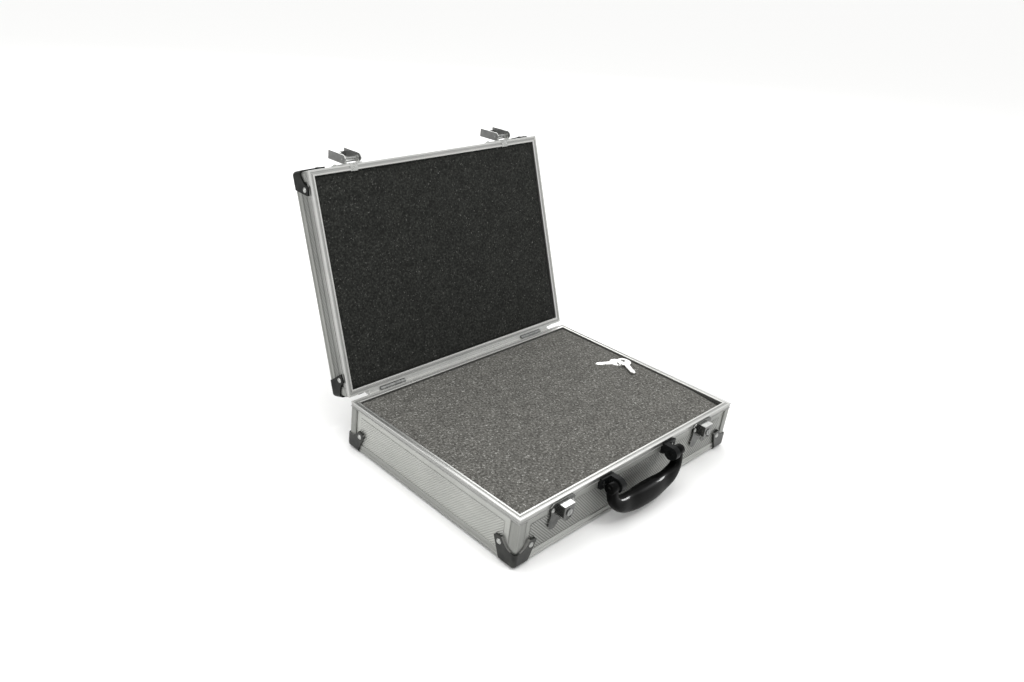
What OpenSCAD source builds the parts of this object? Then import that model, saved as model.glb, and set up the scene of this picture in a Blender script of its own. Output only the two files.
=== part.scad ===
// Hard case for a multimeter: aluminium framed base and lid, foam lined, standing open.
// X runs along the front wall, Y from the front to the back, Z up.
// The origin is the middle of the base's footprint, in the plane of its corner caps' feet.

/* [Case] */
// Outer width of the case
case_w = 360; // [300:5:460]
// Outer depth of the case, front to back
case_d = 250; // [200:5:330]
// Height of the base, from its bottom edge to the rim
base_h = 55; // [46:1:120]
// Height of the lid, from its rim to its top edge
lid_h = 30; // [29:1:60]
// Angle that the lid stands open
lid_open = 110; // [95:1:120]

/* [Frame profiles] */
// Width of the rim that the lid closes on
rim_w = 7; // [6.5:0.1:9]
// Wall of every extruded profile
flange_t = 1.2; // [1:0.1:1.5]
// Depth of the solid web under the rim's top face
rim_web = 3; // [2.5:0.1:4]
// Height of the rim's outer skirt
rim_skirt = 6.4; // [5.6:0.1:8]
// Height of the rim's inner flange
rim_tail = 10; // [8:0.5:14]
// Width of each ridge on the rim's face
ridge_w = 2; // [1.5:0.1:2.4]
// Depth of the groove between the ridges
groove_depth = 0.9; // [0.4:0.1:1.2]
// Gap between the two rims when the lid is shut
lid_gap = 0.2; // [0.1:0.05:0.5]
// Height of the profile along the bottom and top edges
edge_h = 9; // [8:0.5:11]
// Ledge of the edge profile, under the panel
edge_ledge = 10; // [9:0.5:14]
// Width of each side of a corner post
post_w = 11; // [9:0.5:13]
// Outer radius of a corner post
post_r = 3; // [2:0.5:4]

/* [Panels and foam] */
// Thickness of the bottom and top panels
sheet_t = 4; // [3:0.5:6]
// Gap between the foam and the rim's inner face
foam_gap = 0.9; // [0.8:0.1:2]
// How far the base foam lies below the rim
base_foam_recess = 1.8; // [1.7:0.1:6]
// How far the lid foam lies inside its rim
lid_foam_recess = 2; // [1.5:0.5:4]
// How far the base foam falls short at the front right corner
foam_short = 5; // [0:0.5:8]

/* [Corner caps] */
// Wall of a corner cap
cap_t = 1.8; // [1.4:0.1:2.2]
// Outer radius of a corner cap
cap_r = 4.5; // [3.5:0.1:6]
// Width of a cap along the bottom edge
cap_foot = 18; // [17:0.5:20]
// Reach of a cap's pointed arm along the wall
cap_reach = 27; // [24:0.5:30]
// Height of the point of a cap's arm
cap_point = 23.8; // [20:0.2:25]
// Height of the top of a cap's arm
cap_top = 25.4; // [23:0.2:28]
// Rounding at the tip of a cap's arm
cap_tip_r = 1.5; // [0.5:0.1:2]
// Radius of the scoop between the arms
scoop_r = 19; // [17:0.5:21]
// Height of the bottom of the scoop
scoop_h = 15; // [13:0.5:17]
// Distance of a cap's rivet from the corner
cap_rivet_x = 19.5; // [18.5:0.1:20.5]
// Height of a cap's rivet
cap_rivet_h = 19; // [17:0.5:20]

/* [Rivets] */
// Radius of a rivet's head
rivet_head_r = 2.9; // [2.2:0.1:3.2]
// Height of a rivet's head
rivet_head_h = 1.3; // [0.8:0.1:1.8]
// Radius of a rivet's shank
rivet_r = 1.6; // [1:0.1:1.8]
// Depth that a shank goes into a panel
rivet_bite = 3; // [2:0.5:4]

/* [Hinges] */
// Distance of each hinge's middle from the end of the case
hinge_end = 62; // [50:1:110]
// Length of a hinge
hinge_len = 37; // [25:1:50]
// Distance of the hinge axis behind the rear wall
hinge_out = 2.5; // [2.4:0.1:3]
// Outer radius of a hinge knuckle
knuckle_r = 2.3; // [2:0.1:2.3]
// Radius of a hinge pin
hinge_pin_r = 1; // [0.8:0.1:1.2]
// How far the rear rim's stop lip reaches past the hinge axis
lip_out = 2; // [1.5:0.1:2.5]
// Height of the stop lip's taper
lip_h = 12; // [11:0.5:13]
// Length of a hinge leaf
leaf_h = 18; // [16:0.5:19]
// Thickness of a hinge leaf
leaf_t = 1; // [0.8:0.1:1.2]

/* [Locks] */
// Distance of each lock's middle from the end of the case
lock_end = 60; // [52:1:100]
// Width of a lock case
lock_w = 15; // [14:0.5:16]
// Depth of a lock case in front of its plate
lock_depth = 7.8; // [7.4:0.1:8.2]
// Height of the top of a lock case below the rim
lock_top = 4; // [3:0.5:5]
// Height of a lock case
lock_h = 16; // [16:0.1:16.5]
// Wall of a lock case
lock_wall = 1.2; // [1:0.1:1.4]
// Thickness of the lock plates and the hasp plates
plate_t = 1.2; // [1:0.1:1.5]
// Half the width of a lock plate's lower lobes
lock_lobe_x = 11; // [10:0.5:13]
// Radius of a lock plate's lower lobes
lobe_r = 7; // [5:0.5:8]
// Depth of the lobes' middles below the rim
lobe_drop = 25; // [24:0.5:28]
// Gap between a lock plate's top and the rim
plate_top = 1.6; // [1.2:0.1:2.5]
// Depth of a lock cylinder's middle below the top of its case
barrel_drop = 8.2; // [7:0.1:9]
// Radius of a lock cylinder's barrel
barrel_r = 3.2; // [3:0.1:4.3]
// Radius of a lock cylinder's face
barrel_face_r = 3.8; // [3.6:0.1:5.2]

/* [Hasps] */
// Clear width inside a hasp
hasp_inner_w = 20.4; // [19:0.2:22]
// Wall of a hasp
hasp_t = 1.2; // [1:0.1:1.4]
// Depth of a hasp
hasp_depth = 10; // [9.8:0.1:11]
// Length of a hasp below its pivot
hasp_len = 26.1; // [26:0.1:27]
// How far the hasps are swung up from shut, in degrees
hasp_open = 160; // [90:1:180]
// Distance of a hasp's pivot above the lid's rim
hasp_pivot_h = 3.5; // [3:0.1:4]
// Gap between a hasp plate's end and the lid's rim
hasp_plate_top = 1.2; // [1:0.1:2]
// Distance of a hasp plate's far end from the lid's rim
hasp_plate_low = 21.5; // [20:0.5:24]
// Radius of a hasp's pin
hasp_pin_r = 1.25; // [1:0.05:1.4]
// Thickness of a lug on the hasp plate
lug_t = 2; // [1.5:0.1:2.5]

/* [Handle] */
// Width of the handle over its arms
handle_w = 124; // [110:1:140]
// Width of an arm of the handle
arm_w = 11; // [9:0.5:12]
// Distance of the handle's pivot in front of the case
handle_out = 11; // [10:0.1:12]
// Depth of the handle's pivot below the rim
handle_drop = 10.5; // [9:0.5:11]
// How far the hanging handle leans out at its grip, in degrees
handle_lean = 10; // [0:1:15]
// Depth of the grip's lower edge below the pivot
grip_low = 40; // [36:0.5:42]
// Height of the grip's section
grip_h = 24; // [20:0.5:25]
// Depth of the grip's section
grip_d = 16; // [12:0.5:17]
// How much shallower the section is at the handle's two bends
grip_waist = 1.6; // [0:0.1:2.5]
// Radius of the eye at the end of an arm
eye_r = 6; // [5.5:0.1:6.2]
// Radius of a handle pin
handle_pin_r = 2.5; // [2:0.1:3]
// Thickness of a handle bracket's cheek
cheek_w = 7; // [5:0.5:9]

/* [Keys] */
// Distance of the right key's bow from the end of the case
key_end = 23; // [18:1:60]
// Distance of the right key's bow from the back of the case
key_back = 117.5; // [60:0.5:160]
// How far the left key's bow lies to the left of the right one's, and behind it
key_step = 6; // [4:0.5:12]
// Direction of the left key's blade, from +X
left_key_turn = 155; // [140:1:185]
// Direction of the right key's blade, from +X
right_key_turn = 241; // [225:1:265]
// Radius of a key's bow
bow_r = 8.6; // [6:0.1:9]
// Thickness of a key
key_t = 1.6; // [1.2:0.1:2]
// Length of a key's blade
blade_l = 20.5; // [20:0.5:28]
// Width of a key's blade
blade_w = 6.2; // [4:0.1:7.5]

/* [Hidden] */
$fn = 48;

// Distance of a hasp's pivot in front of the case: the hasp just clears its plate when laid back
hasp_out = hasp_depth / 2 + plate_t + 0.2;
// Reach of a hasp's open side from its pivot
hasp_in = hasp_depth / 2 - 0.1;
// Far enough to cut right through anything
far = 500;
// Running clearance of a pin in its bore, and of a rivet in its hole
run_gap = 0.05;
// Clearance of parts that pass each other
pass_gap = 0.3;
// Hinges and locks from the middle of the case
hinge_x = case_w / 2 - hinge_end;
lock_x = case_w / 2 - lock_end;
// Height of the rim's plane above the feet
rim_z = cap_t + base_h;
// Height of the hinge axis and its distance from the middle
axis_z = rim_z + lid_gap / 2;
axis_y = case_d / 2 + hinge_out;
// Panels stand between the profile's two flanges
panel_t = rim_w - 2 * flange_t;
// Colours
metal = [0.78, 0.79, 0.80];
skin = [0.62, 0.63, 0.63];
chrome = [0.88, 0.89, 0.90];
black = [0.09, 0.09, 0.10];
foam_grey = [0.30, 0.30, 0.30];

// Places a base piece: its own Z is measured from the rim plane, downwards negative
module on_base() translate([0, 0, rim_z]) children();

// The lid, shut
module lid_shut() translate([0, 0, rim_z + lid_gap]) mirror([0, 0, 1]) children();

// Swings a shut lid's piece open
module opened() translate([0, axis_y, axis_z]) rotate([-lid_open, 0, 0])
    translate([0, -axis_y, -axis_z]) children();

module on_lid() opened() lid_shut() children();

// One wall's place: X runs along the wall and Y inwards from its outer face
module at_wall(wall) {
    if (wall == "front") translate([0, -case_d / 2, 0]) children();
    if (wall == "right") translate([case_w / 2, 0, 0]) rotate(90) children();
    if (wall == "back") translate([0, case_d / 2, 0]) rotate(180) children();
    if (wall == "left") translate([-case_w / 2, 0, 0]) rotate(-90) children();
}

function wall_len(wall) = wall == "front" || wall == "back" ? case_w : case_d;

// All four corners, from the one at the front left
module corners() for (x = [0, 1], y = [0, 1]) mirror([x, 0, 0]) mirror([0, y, 0])
    translate([-case_w / 2, -case_d / 2, 0]) children();

// A section in (Y, Z) drawn out along X
module along_x(len) rotate([90, 0, 90]) linear_extrude(len, center = true) children();

// Cuts a length of profile to mitred ends
module mitred(len) intersection() {
    children();
    linear_extrude(far, center = true)
        polygon([[-len / 2, -far], [len / 2, -far], [len / 2, 0], [len / 2 - far / 4, far / 4],
            [-len / 2 + far / 4, far / 4], [-len / 2, 0]]);
}

// Rim section: two ridges with a groove, an outer skirt that ends in a bead, an inner flange
module rim_section(skirt) {
    soft = 0.4;
    inset = flange_t / 2;
    difference() {
        polygon([[0, -soft], [soft, 0], [ridge_w, 0], [ridge_w + soft, -groove_depth],
            [rim_w - ridge_w - soft, -groove_depth], [rim_w - ridge_w, 0], [rim_w - soft, 0],
            [rim_w, -soft], [rim_w, -rim_tail], [rim_w - flange_t, -rim_tail],
            [rim_w - flange_t, -rim_web], [flange_t, -rim_web], [flange_t, -skirt],
            [inset, -skirt], [inset, -2 * soft - flange_t], [0, -flange_t]]);
    }
    translate([0.9 * inset, inset - skirt]) circle(0.9 * inset);
}

// The rear rim's lip, whose slope meets the other one when the lid stands open
module stop_lip_section() {
    slope = lid_open / 2;
    reach = hinge_out + lip_out;
    root = flange_t * 0.75;
    seam = 0.02;
    polygon([[root, -lip_h], [0, -lip_h], [-reach, -lip_h / 2], [-reach, -lip_out * tan(slope)],
        [-hinge_out, -seam], [root, -seam]]);
}

module rim(wall) mitred(wall_len(wall)) along_x(wall_len(wall)) rim_section(rim_skirt);

// The lip leaves room for the hinges and for the corner caps
module back_rim() at_wall("back") {
    half = hinge_len / 2 + pass_gap;
    end_x = case_w / 2 - cap_reach - 1;
    rim("back");
    along_x(2 * (hinge_x - half)) stop_lip_section();
    for (side = [-1, 1]) translate([side * (hinge_x + half + end_x) / 2, 0, 0])
        along_x(end_x - hinge_x - half) stop_lip_section();
}

// Edge section: an angle round the bottom edge with two ribs on its face
module edge_section(h) {
    rib = 0.6;
    polygon([[rib, -h], [0, rib - h], [0, 4 * rib - h], [rib, 5 * rib - h],
        [rib, edge_h - 5 * rib - h], [0, edge_h - 4 * rib - h], [0, edge_h - rib - h],
        [rib, edge_h - h], [flange_t, edge_h - h], [flange_t, flange_t - h],
        [edge_ledge, flange_t - h], [edge_ledge, -h]]);
}

module edge(wall, h) at_wall(wall) mitred(wall_len(wall)) along_x(wall_len(wall)) edge_section(h);

// Rounded angle down each corner, between the rim and the edge profile
module corner_posts(h) corners() translate([0, 0, edge_h - h])
    linear_extrude(h - edge_h - rim_skirt) difference() {
        union() {
            translate([post_r, post_r]) circle(post_r);
            translate([post_r, 0]) square([post_w - post_r, post_r]);
            translate([0, post_r]) square([post_r, post_w - post_r]);
        }
        translate([flange_t, flange_t]) square(post_w);
        for (flip = [0, 1]) mirror([flip, -flip]) translate([post_w - 1.6, -0.3]) square([0.5, 0.6]);
    }

// Places on the four walls where rivets of the corner caps go: X along the wall, Z up
module cap_rivet_places(h) corners() for (flip = [0, 1]) mirror([flip, -flip, 0])
    translate([cap_rivet_x, 0, cap_rivet_h - h]) children();

// A rivet that points inwards along Y, with its head's seat at Y = -seat
module rivet(seat, head_r = rivet_head_r) {
    dome_r = (head_r * head_r + rivet_head_h * rivet_head_h) / (2 * rivet_head_h);
    intersection() {
        translate([0, dome_r - seat - rivet_head_h, 0]) sphere(dome_r);
        translate([0, -seat, 0]) rotate([90, 0, 0]) cylinder(h = 2 * rivet_head_h, r = head_r + 1);
    }
    translate([0, flange_t + rivet_bite, 0]) rotate([90, 0, 0])
        cylinder(h = flange_t + rivet_bite + seat, r = rivet_r);
}

// The hole that a rivet needs
module rivet_hole() translate([0, flange_t + rivet_bite, 0]) rotate([90, 0, 0])
    cylinder(h = far / 10, r = rivet_r + run_gap);

// Wall panel that stands on the edge profile's ledge, under the rim's web
module wall_panel(wall, h) {
    long = wall == "front" || wall == "back";
    len = wall_len(wall) - 2 * (long ? flange_t : rim_w - flange_t);
    difference() {
        at_wall(wall) translate([-len / 2, flange_t, flange_t - h])
            cube([len, panel_t, h - flange_t - rim_web]);
        cap_rivet_places(h) rivet_hole();
        if (wall == "back") hinge_rivet_places() rivet_hole();
    }
}

// Bottom panel of the base, and the same piece in the lid
module sheet_panel(h) translate([0, 0, flange_t - h]) linear_extrude(sheet_t)
    square([case_w - 2 * (rim_w - flange_t), case_d - 2 * (rim_w - flange_t)], center = true);

// Solid with its corner at the origin, reaching along all three axes, rounded outside
module rounded_corner(size, r) {
    translate([r, r, r]) sphere(r);
    for (turn = [0, 1, 2]) rotate(120 * turn, [1, 1, 1]) {
        translate([r, r, 0]) cube([size - r, size - r, size]);
        translate([r, r, r]) cylinder(h = size - r, r = r);
    }
}

// Face of a cap's arm, from the corner along the wall and up
module arm_face() intersection() {
    translate([-cap_t, -cap_t]) square(2 * cap_reach);
    offset(r = cap_tip_r) offset(delta = -cap_tip_r) difference() {
        polygon([[-cap_reach, -cap_reach], [cap_foot, -cap_reach], [cap_foot, cap_t],
            [cap_reach, cap_point], [cap_foot, cap_top], [-cap_reach, cap_top]]);
        translate([0, scoop_h + scoop_r]) circle(scoop_r);
    }
}

// Moulded corner cap: an arm on each wall, a foot below, and pads down to the panel
module corner_cap(h) difference() {
    intersection() {
        translate([-cap_t, -cap_t, -cap_t]) rounded_corner(cap_reach + 4 * cap_t, cap_r);
        union() {
            for (flip = [0, 1]) mirror([flip, -flip, 0]) {
                rotate([90, 0, 0]) linear_extrude(cap_t) arm_face();
                translate([0, flange_t, 0]) rotate([90, 0, 0]) linear_extrude(flange_t) intersection() {
                    arm_face();
                    translate([post_w, edge_h]) square([cap_reach, h - edge_h - rim_skirt]);
                }
            }
            translate([0, 0, -cap_t]) linear_extrude(cap_t)
                polygon([[-cap_t, -cap_t], [cap_foot, -cap_t], [cap_foot, cap_foot / 2],
                    [cap_foot / 2, cap_foot], [-cap_t, cap_foot]]);
        }
    }
    for (flip = [0, 1]) mirror([flip, -flip, 0]) translate([cap_rivet_x, 0, cap_rivet_h]) rivet_hole();
}

module corner_caps(h) corners() translate([0, 0, -h]) corner_cap(h);

// Foam block of the base, a little short at the front right
module foam_outline(short) {
    x = case_w / 2 - rim_w - foam_gap;
    y = case_d / 2 - rim_w - foam_gap;
    polygon([[-x, -y], [x - short, -y], [x, y], [-x, y]]);
}

module foam(h, recess, short) translate([0, 0, flange_t + sheet_t - h])
    linear_extrude(h - flange_t - sheet_t - recess) foam_outline(short);

// Hinge leaf with its knuckles; the five knuckles take turns, and whose are the odd ones
module hinge_leaf(odd) {
    pitch = hinge_len / 5;
    for (n = [0:4]) if ((n % 2 == 0) == odd) translate([(n - 2) * pitch, -hinge_out, lid_gap / 2])
        difference() {
            union() {
                rotate([0, 90, 0]) cylinder(h = pitch - pass_gap, r = knuckle_r, center = true);
                translate([-(pitch - pass_gap) / 2, hinge_out - leaf_t, -knuckle_r - 2 * pass_gap])
                    cube([pitch - pass_gap, leaf_t, knuckle_r + 2 * pass_gap]);
            }
            rotate([0, 90, 0]) cylinder(h = pitch, r = hinge_pin_r + run_gap, center = true);
        }
    difference() {
        union() {
            translate([-hinge_len / 2, -leaf_t, -leaf_h])
                cube([hinge_len, leaf_t, leaf_h - knuckle_r - pass_gap]);
            translate([-hinge_len / 2, -leaf_t, -leaf_h])
                cube([hinge_len, leaf_t + flange_t, leaf_h - lip_h]);
        }
        leaf_rivet_places() rivet_hole();
    }
}

module leaf_rivet_places() for (side = [-1, 1])
    translate([side * hinge_len * 0.3, 0, -(leaf_h + lip_h) / 2]) children();

module hinge_places() at_wall("back") for (side = [-1, 1]) translate([side * hinge_x, 0, 0]) children();

module hinge_rivet_places() hinge_places() leaf_rivet_places() children();

// Front wall of the base or the lid at each lock
module lock_places() at_wall("front") for (side = [-1, 1]) translate([side * lock_x, 0, 0]) children();

// Rivets of a lock plate, just outside the hasp's sides
small_head_r = 2.4;
lock_rivet_x = hasp_inner_w / 2 + hasp_t + pass_gap + small_head_r + 0.1;
lock_rivet_z = -lock_top - 5;
module lock_rivet_places() for (side = [-1, 1]) translate([side * lock_rivet_x, 0, lock_rivet_z])
    children();

// Lobed outline of a lock plate, in X and Z
module lock_plate_outline() difference() {
    top_x = lock_rivet_x - 0.5;
    ear_x = lock_rivet_x + small_head_r + 1;
    waist_x = ear_x - 1.6;
    union() {
        polygon([[-top_x, -plate_top], [top_x, -plate_top], [ear_x, -plate_top - 3.6],
            [waist_x, -lobe_drop + 10], [lock_lobe_x + lobe_r, -lobe_drop],
            [-lock_lobe_x - lobe_r, -lobe_drop], [-waist_x, -lobe_drop + 10],
            [-ear_x, -plate_top - 3.6]]);
        for (side = [-1, 1]) translate([side * lock_lobe_x, -lobe_drop]) circle(lobe_r);
    }
    translate([0, -lobe_drop - lobe_r - 2]) circle(lobe_r + 1);
}

// Plate in front of a wall; its back has a rebate for the rim's skirt
module seated_plate(skirt_to, edge_from) difference() {
    translate([0, flange_t, 0]) rotate([90, 0, 0]) linear_extrude(flange_t + plate_t) children();
    translate([-far / 2, 0, -skirt_to]) cube([far, far, far]);
    translate([-far / 2, 0, -edge_from - far]) cube([far, far, far]);
}

module lock_plates() lock_places() difference() {
    seated_plate(rim_skirt, base_h - edge_h) lock_plate_outline();
    lock_rivet_places() rivet_hole();
}

// Outline of a lock case, in X and Z; wall is how far it lies inside the outer one
lock_taper = 4;
barrel_z = -lock_top - barrel_drop;
module lock_case_outline(wall) {
    x = lock_w / 2 - wall;
    low = -lock_top - lock_h;
    polygon([[-x, -lock_top - wall], [x, -lock_top - wall], [x, low + lock_taper + wall / 3],
        [x - lock_taper * 0.7, low], [lock_taper * 0.7 - x, low],
        [-x, low + lock_taper + wall / 3]]);
}

// Box that the hasp closes over: open underneath, with a notch for the hasp's catch
module lock_case() translate([0, -plate_t, 0]) difference() {
    rotate([90, 0, 0]) linear_extrude(lock_depth) lock_case_outline(0);
    translate([0, 1, 0]) rotate([90, 0, 0]) linear_extrude(lock_depth + 1 - lock_wall)
        union() {
            lock_case_outline(lock_wall);
            translate([0, -lock_top - lock_h]) square([2 * catch_room, 2], center = true);
        }
    translate([-catch_room, -lock_depth - 1, -lock_top - lock_h - 1])
        cube([2 * catch_room, lock_depth, 1 + notch_h]);
    translate([0, 0, barrel_z]) rotate([90, 0, 0]) cylinder(h = far / 10, r = barrel_r + run_gap);
}
catch_w = 6;
catch_room = catch_w / 2 + 2 * pass_gap;
notch_h = 3.6;

// Key barrel: its face, the barrel in the case's wall, the cam behind it and a rear journal
keyway_w = 1;
cam_t = 1;
cam_l = 5.6;
module lock_cylinder() translate([0, -plate_t - lock_depth, barrel_z]) rotate([-90, 0, 0]) difference() {
    union() {
        translate([0, 0, -0.9]) cylinder(h = 0.8, r = barrel_face_r);
        translate([0, 0, -0.9]) cylinder(h = lock_wall + 1, r = barrel_r);
        translate([0, -1.5, lock_wall + 0.1]) cube([cam_l, 3, cam_t]);
        translate([0, 0, lock_wall]) cylinder(h = lock_depth - lock_wall - 0.1, r = 1.5);
    }
    translate([-keyway_w / 2, -0.65 * barrel_r, -2]) cube([keyway_w, 1.3 * barrel_r, 2.2]);
}

// Handle bracket: plate on the wall and a cheek that carries the pin, for the left side
bracket_w = 20;
bracket_h = 12;
bracket_top = 3;
bracket_t = 3;
// A bracket's rivet is let into its plate, clear of the handle's eye
rivet_seat = bracket_t - rivet_head_h - run_gap;
arm_in = handle_w / 2 - arm_w;
cheek_in = arm_in - pass_gap - cheek_w;
module handle_rivet_place() translate([-cheek_in - bracket_w + 4.5, 0, -bracket_top - bracket_h / 2])
    children();

module handle_bracket() difference() {
    union() {
        difference() {
            translate([-cheek_in - bracket_w, -bracket_t, -bracket_top - bracket_h])
                cube([bracket_w, bracket_t + flange_t, bracket_h]);
            translate([-far / 2, 0, -rim_skirt]) cube([far, far, far]);
        }
        translate([-cheek_in - cheek_w / 2, 0, 0]) along_x(cheek_w) {
            translate([-handle_out, -handle_drop]) circle(handle_drop - bracket_top);
            translate([-handle_out, -handle_drop - 3])
                square([handle_out - bracket_t / 2, handle_drop - bracket_top + 3]);
        }
    }
    translate([0, -handle_out, -handle_drop]) rotate([0, 90, 0])
        cylinder(h = far, r = handle_pin_r + run_gap, center = true);
    handle_rivet_place() {
        rivet_hole();
        translate([0, -rivet_seat, 0]) rotate([90, 0, 0])
            cylinder(h = far / 10, r = rivet_head_r + 2 * run_gap);
    }
}

module handle_pins() for (side = [-1, 1])
    translate([side * (cheek_in + (cheek_w + arm_w) / 2), -handle_out, -handle_drop]) rotate([0, 90, 0])
    cylinder(h = cheek_w + arm_w + pass_gap - 1, r = handle_pin_r, center = true);

// Moulded handle: its outer and inner edges are rounded U's, set a section's height apart
grip_steps = 30;
grip_sides = 20;
outer_leg = 2;
inner_leg = 7;
// Point on a U with straight legs; the power squares its corners
function bow_point(half, leg, drop, power, t) =
    [-half * sign(cos(t)) * pow(abs(cos(t)), power), -leg - (drop - leg) * pow(sin(t), power)];
function grip_ends(t) = [bow_point(handle_w / 2 - arm_w, inner_leg, grip_low - grip_h, 0.6, t),
    bow_point(handle_w / 2, outer_leg, grip_low, 0.8, t)];
function eye_ends(side) = [[side * (handle_w / 2 - arm_w), 0], [side * handle_w / 2, 0]];
function grip_depth(t) = arm_w + (grip_d - arm_w) * pow(sin(t), 2) - grip_waist * pow(sin(2 * t), 2);
// Rounded section from an inner to an outer end
function rounded(a) = sign(a) * pow(abs(a), 0.8);
function grip_ring(ends, depth) = let (middle = (ends[0] + ends[1]) / 2, half = (ends[0] - ends[1]) / 2)
    [for (n = [0:grip_sides - 1]) let (v = 360 * n / grip_sides, p = rounded(cos(v)))
        [middle[0] + p * half[0], rounded(sin(v)) * depth / 2, middle[1] + p * half[1]]];
module grip() {
    bow = [for (k = [0:grip_steps]) let (t = 180 * k / grip_steps) grip_ring(grip_ends(t), grip_depth(t))];
    rings = concat([grip_ring(eye_ends(-1), arm_w)], bow, [grip_ring(eye_ends(1), arm_w)]);
    points = [for (ring = rings) each ring];
    last = (len(rings) - 1) * grip_sides;
    side_faces = [for (a = [0:grip_sides:last - 1], n = [0:grip_sides - 1])
        let (m = (n + 1) % grip_sides, b = a + grip_sides)
        each [[a + n, a + m, b + m], [a + n, b + m, b + n]]];
    ends = [[for (n = [0:grip_sides - 1]) grip_sides - 1 - n], [for (n = [0:grip_sides - 1]) last + n]];
    polyhedron(points, concat(side_faces, ends));
}

module handle() translate([0, -handle_out, -handle_drop]) rotate([-handle_lean, 0, 0]) difference() {
    union() {
        grip();
        for (side = [-1, 1]) translate([side * (handle_w - arm_w) / 2, 0, 0]) rotate([0, 90, 0])
            cylinder(h = arm_w, r = eye_r, center = true);
    }
    for (side = [-1, 1]) translate([side * (handle_w - arm_w) / 2, 0, 0]) rotate([0, 90, 0])
        cylinder(h = arm_w + 1, r = handle_pin_r + run_gap, center = true);
}

// Flat key with a round bow and a notched blade along +X
module key() linear_extrude(key_t) difference() {
    union() {
        circle(bow_r);
        translate([0, -blade_w / 2]) square([bow_r + blade_l - blade_w / 2, blade_w]);
        translate([bow_r + blade_l - blade_w / 2, 0]) rotate(45) square(blade_w * 0.7071, center = true);
    }
    translate([-bow_r * 0.35, 0]) circle(bow_r * 0.36);
    for (n = [0:4]) translate([bow_r + blade_l * (0.28 + 0.13 * n), blade_w / 2 + 0.3]) rotate(45)
        square(1.3 + 0.5 * ((n * 2) % 3), center = true);
}

// Keys lie on the base foam near the right wall; a raised one lies on the other's bow
module lying_key(x, y, turn, raised = false) on_base()
    translate([case_w / 2 - x, case_d / 2 - y, (raised ? key_t + run_gap : 0) - base_foam_recess])
    rotate(turn) key();

// Outline of a hasp plate, in X and Z
hasp_ear_x = hasp_inner_w / 2 + hasp_t + 3.6;
hasp_ear_z = -(hasp_plate_top + hasp_plate_low) / 2 - 2;
ear_r = small_head_r + 2.6;
module hasp_plate_outline() {
    x = hasp_ear_x;
    polygon([[2 - x, -hasp_plate_top], [x - 2, -hasp_plate_top], [x, -hasp_plate_top - 5.8],
        [x, 2.5 - hasp_plate_low], [x - 3, -hasp_plate_low], [3 - x, -hasp_plate_low],
        [-x, 2.5 - hasp_plate_low], [-x, -hasp_plate_top - 5.8]]);
    for (side = [-1, 1]) translate([side * x, hasp_ear_z]) circle(ear_r);
}

module hasp_rivet_places() for (side = [-1, 1]) translate([side * (hasp_ear_x + 1), 0, hasp_ear_z])
    children();

lug_r = 2.8;
strap_w = 10;
strap_t = 0.8;

// Plate on the lid with two lugs and a strap folded over the rim
module hasp_plates() lock_places() {
    difference() {
        seated_plate(rim_skirt, lid_h - edge_h) hasp_plate_outline();
        hasp_rivet_places() rivet_hole();
    }
    for (side = [-1, 1]) translate([side * (hasp_inner_w / 2 - pass_gap - lug_t / 2), 0, 0])
        difference() {
            along_x(lug_t) {
                translate([-hasp_out, -hasp_pivot_h]) circle(lug_r);
                translate([-hasp_out, -hasp_pivot_h - lug_r])
                    square([hasp_out - plate_t / 2, 2 * lug_r - 0.6]);
            }
            translate([0, -hasp_out, -hasp_pivot_h]) rotate([0, 90, 0])
                cylinder(h = lug_t + 1, r = hasp_pin_r + run_gap, center = true);
        }
    translate([-strap_w / 2, -plate_t, -1.2 - strap_t]) cube([strap_w, plate_t, 1.2 + strap_t - 0.1]);
    translate([-strap_w / 2, -plate_t, -strap_t - 0.1]) cube([strap_w, plate_t + rim_w + strap_t, strap_t]);
    translate([-strap_w / 2, rim_w, -5]) cube([strap_w, strap_t, 4.9]);
}

// Room for the straps in the lid's front rim
module strap_notches() lock_places() translate([-strap_w / 2 - 0.1, -1, -strap_t - 0.1])
    cube([strap_w + 0.2, rim_w + 2, 5]);

module hasp_pins() lock_places() translate([0, -hasp_out, -hasp_pivot_h]) rotate([0, 90, 0])
    cylinder(h = hasp_inner_w + 2 * hasp_t + 1, r = hasp_pin_r, center = true);

// Hasp, shut, seen from its pivot: two sides, a front with a hole for the key, a hooked end
module hasp_shut() {
    half = hasp_inner_w / 2 + hasp_t;
    front_from = lug_r + 0.4;
    difference() {
        union() {
            for (side = [-1, 1]) translate([side * (half - hasp_t / 2), 0, 0]) along_x(hasp_t) {
                circle(hasp_in);
                translate([-hasp_depth / 2, -hasp_len]) square([hasp_depth / 2 + hasp_in, hasp_len]);
            }
            translate([-half, -hasp_depth / 2, -hasp_len]) cube([2 * half, hasp_t, hasp_len - front_from]);
            translate([-half, -hasp_depth / 2, -hasp_len])
                cube([2 * half, catch_back + hasp_depth / 2, hasp_t]);
            translate([-catch_w / 2, catch_back - hasp_t, -hasp_len]) cube([catch_w, hasp_t, catch_h]);
        }
        rotate([0, 90, 0]) cylinder(h = 3 * half, r = hasp_pin_r + run_gap, center = true);
        translate([0, 0, barrel_z - hasp_pivot_h - lid_gap]) rotate([90, 0, 0])
            cylinder(h = hasp_depth, r = barrel_face_r + 2 * pass_gap);
    }
}
catch_back = hasp_out - plate_t - lock_depth + lock_wall + 0.1 + cam_t + pass_gap + hasp_t;
catch_h = 5.2;

// Hasp swung up, a little short of lying back on the open lid
module hasp(side) opened() translate([side * lock_x, -case_d / 2 - hasp_out, rim_z + lid_gap + hasp_pivot_h])
    rotate([-hasp_open, 0, 0]) hasp_shut();

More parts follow.
